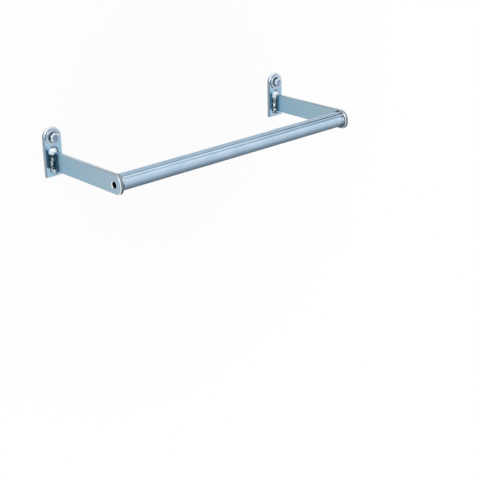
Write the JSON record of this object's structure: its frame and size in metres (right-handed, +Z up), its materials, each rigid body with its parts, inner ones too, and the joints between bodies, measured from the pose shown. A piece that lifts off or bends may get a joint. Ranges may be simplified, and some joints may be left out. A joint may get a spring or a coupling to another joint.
{
  "type": "ladder standoff",
  "caption": "Wall-fixed ladder standoff: welded flat-bar brackets, each with a wall plate and an arm on edge, hold a round steel hook-on rail clear of the wall.",
  "frame": {"origin": "on the wall face, midway between the two wall screws", "axes": "+X along the rail to the right as seen from the room, +Y into the wall, +Z up"},
  "size_m": [0.486, 0.213, 0.075],
  "materials": {
    "plated_flat_bar": "zinc plated and blue passivated, satin gloss",
    "plated_tube": "drawn tube, zinc plated and blue passivated, bright",
    "plated_weld": "rippled weld bead under the same zinc plating",
    "plated_fastener": "zinc plated, bright"
  },
  "bodies": {
    "root": {"left_wall_plate": "plated_flat_bar", "right_wall_plate": "plated_flat_bar", "left_arm": "plated_flat_bar", "right_arm": "plated_flat_bar", "left_arm_weld_outer": "plated_weld", "left_arm_weld_inner": "plated_weld", "right_arm_weld_outer": "plated_weld", "right_arm_weld_inner": "plated_weld", "rail_tube": "plated_tube", "left_rail_weld": "plated_weld", "right_rail_weld": "plated_weld", "left_wall_screw": "plated_fastener", "right_wall_screw": "plated_fastener", "left_washer": "plated_fastener", "right_washer": "plated_fastener"}
  },
  "joints": []
}
